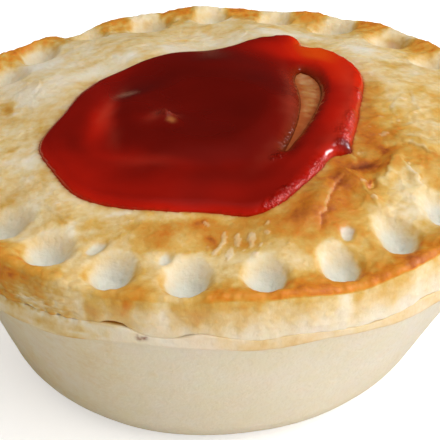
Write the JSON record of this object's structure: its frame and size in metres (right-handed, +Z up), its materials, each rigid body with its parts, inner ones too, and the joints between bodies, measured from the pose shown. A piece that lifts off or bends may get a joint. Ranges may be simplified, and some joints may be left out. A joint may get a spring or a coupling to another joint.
{
  "type": "meat pie",
  "caption": "Round single-serve meat pie with a tapering pastry case, a thumbed crust rim on a low domed lid, and a pool of tomato sauce on top.",
  "frame": {"origin": "the middle of the pie's outline at the level of its foot, where it stands", "axes": "+Z up, through the middle of the rim; -Y towards the front, the side that the picture shows; +X to the right seen from the front"},
  "size_m": [0.11, 0.11, 0.0514],
  "materials": {
    "case_crust": "dry pale pastry, faintly browned",
    "lid_crust": "golden baked pastry, browner on the ridges and rim",
    "tomato_sauce": "wet glossy red sauce"
  },
  "bodies": {
    "root": {"case_crust": "case_crust", "lid_crust": "lid_crust", "tomato_sauce": "tomato_sauce"}
  },
  "joints": []
}
